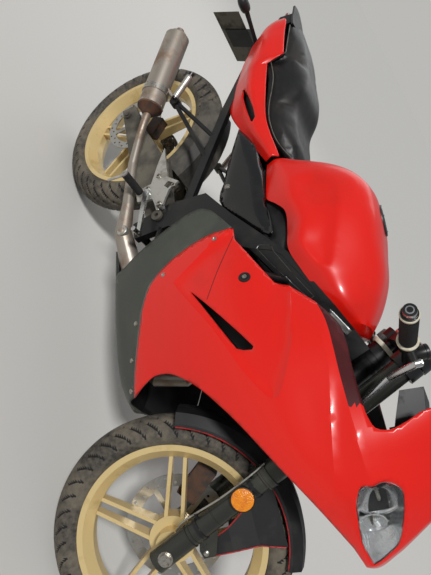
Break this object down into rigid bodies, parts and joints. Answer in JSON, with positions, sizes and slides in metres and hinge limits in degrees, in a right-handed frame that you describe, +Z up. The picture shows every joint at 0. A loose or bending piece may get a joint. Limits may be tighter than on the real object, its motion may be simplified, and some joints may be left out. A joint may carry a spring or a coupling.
{
  "type": "sport motorcycle",
  "caption": "Small sport motorcycle with half fairing, belly pan and cast wheels; turning wheels, steering and folding side stand.",
  "frame": {"origin": "on the floor, under the middle of the parked machine's overall length and width", "axes": "+Z up from the floor, +X towards the front wheel along the machine, +Y to the rider's left"},
  "size_m": [1.947, 0.5947, 1.0278],
  "materials": {
    "frame_black": "satin",
    "swingarm_grey": "dusty cast",
    "engine_alloy": "cast",
    "radiator_black": "matt",
    "exhaust_steel": "weathered",
    "belly_grey": "matt",
    "lamp_clear": "clear",
    "black_plastic": "matt",
    "tank_red": "gloss",
    "seat_vinyl": "grained vinyl",
    "lamp_red": "gloss",
    "plate_grey": "matt",
    "hugger_grey": "dusty",
    "shock_spring": "gloss",
    "chain_steel": "greasy",
    "caliper_brown": "rusty",
    "fairing_red": "gloss",
    "bracket_alloy": "cast",
    "cover_black": "satin",
    "black_metal": "satin",
    "wheel_gold": "satin",
    "tyre": "dusty",
    "disc_steel": "ground",
    "fork_grey": "satin",
    "grip_rubber": "matt",
    "lever_alloy": "polished",
    "axle_steel": "zinc"
  },
  "bodies": {
    "chassis": {"frame": "frame_black", "swingarm": "swingarm_grey", "subframe": "frame_black", "engine": "engine_alloy", "radiator": "radiator_black", "exhaust_chamber": "exhaust_steel", "belly_pan": "belly_grey", "headlamp": "lamp_clear", "dash": "black_plastic", "fuel_tank": "tank_red", "seat": "seat_vinyl", "tail_cowl": "fairing_red", "tail_lamp": "lamp_red", "rear_mudguard": "black_plastic", "number_plate": "plate_grey", "hugger": "hugger_grey", "rear_shock": "shock_spring", "chain": "chain_steel", "rear_caliper": "caliper_brown", "silencer": "exhaust_steel", "fairing_right": "fairing_red", "fairing_left": "fairing_red", "rear_indicators": "black_plastic", "footrests": "bracket_alloy", "side_covers": "cover_black", "foot_pedals": "bracket_alloy", "passenger_footrests": "black_metal"},
    "steering": {"yokes": "black_metal", "fork_leg_right": "fork_grey", "fork_leg_left": "fork_grey", "handlebar_right": "grip_rubber", "handlebar_left": "grip_rubber", "brake_lever": "lever_alloy", "clutch_lever": "lever_alloy", "front_mudguard": "black_plastic", "front_caliper": "caliper_brown", "front_axle": "axle_steel"},
    "front_wheel": {"front_rim": "wheel_gold", "front_tyre": "tyre", "front_disc": "disc_steel"},
    "rear_wheel": {"rear_rim": "wheel_gold", "rear_tyre": "tyre", "rear_disc": "disc_steel", "rear_sprocket": "disc_steel"},
    "side_stand": {"side_stand": "black_metal"}
  },
  "joints": [
    {"name": "steering", "type": "hinge", "parent": "chassis", "child": "steering", "pos_m": [0.80894, -0.10981, -0.00777], "axis": [-0.4099, 0.1658, 0.8969], "range_deg": [-66, 0]},
    {"name": "front_wheel_spin", "type": "hinge", "parent": "steering", "child": "front_wheel", "pos_m": [0.71014, -0.03687, 0.27782], "axis": [-0.4976, 0.7835, -0.3722], "continuous": true},
    {"name": "rear_wheel_spin", "type": "hinge", "parent": "chassis", "child": "rear_wheel", "pos_m": [-0.63942, -0.05387, 0.30186], "axis": [-0.001, 0.9833, -0.1822], "continuous": true},
    {"name": "side_stand_fold", "type": "hinge", "parent": "chassis", "child": "side_stand", "pos_m": [-0.09276, 0.06292, 0.23762], "axis": [0.0969, 0.9318, 0.3498], "range_deg": [0, 100]}
  ]
}
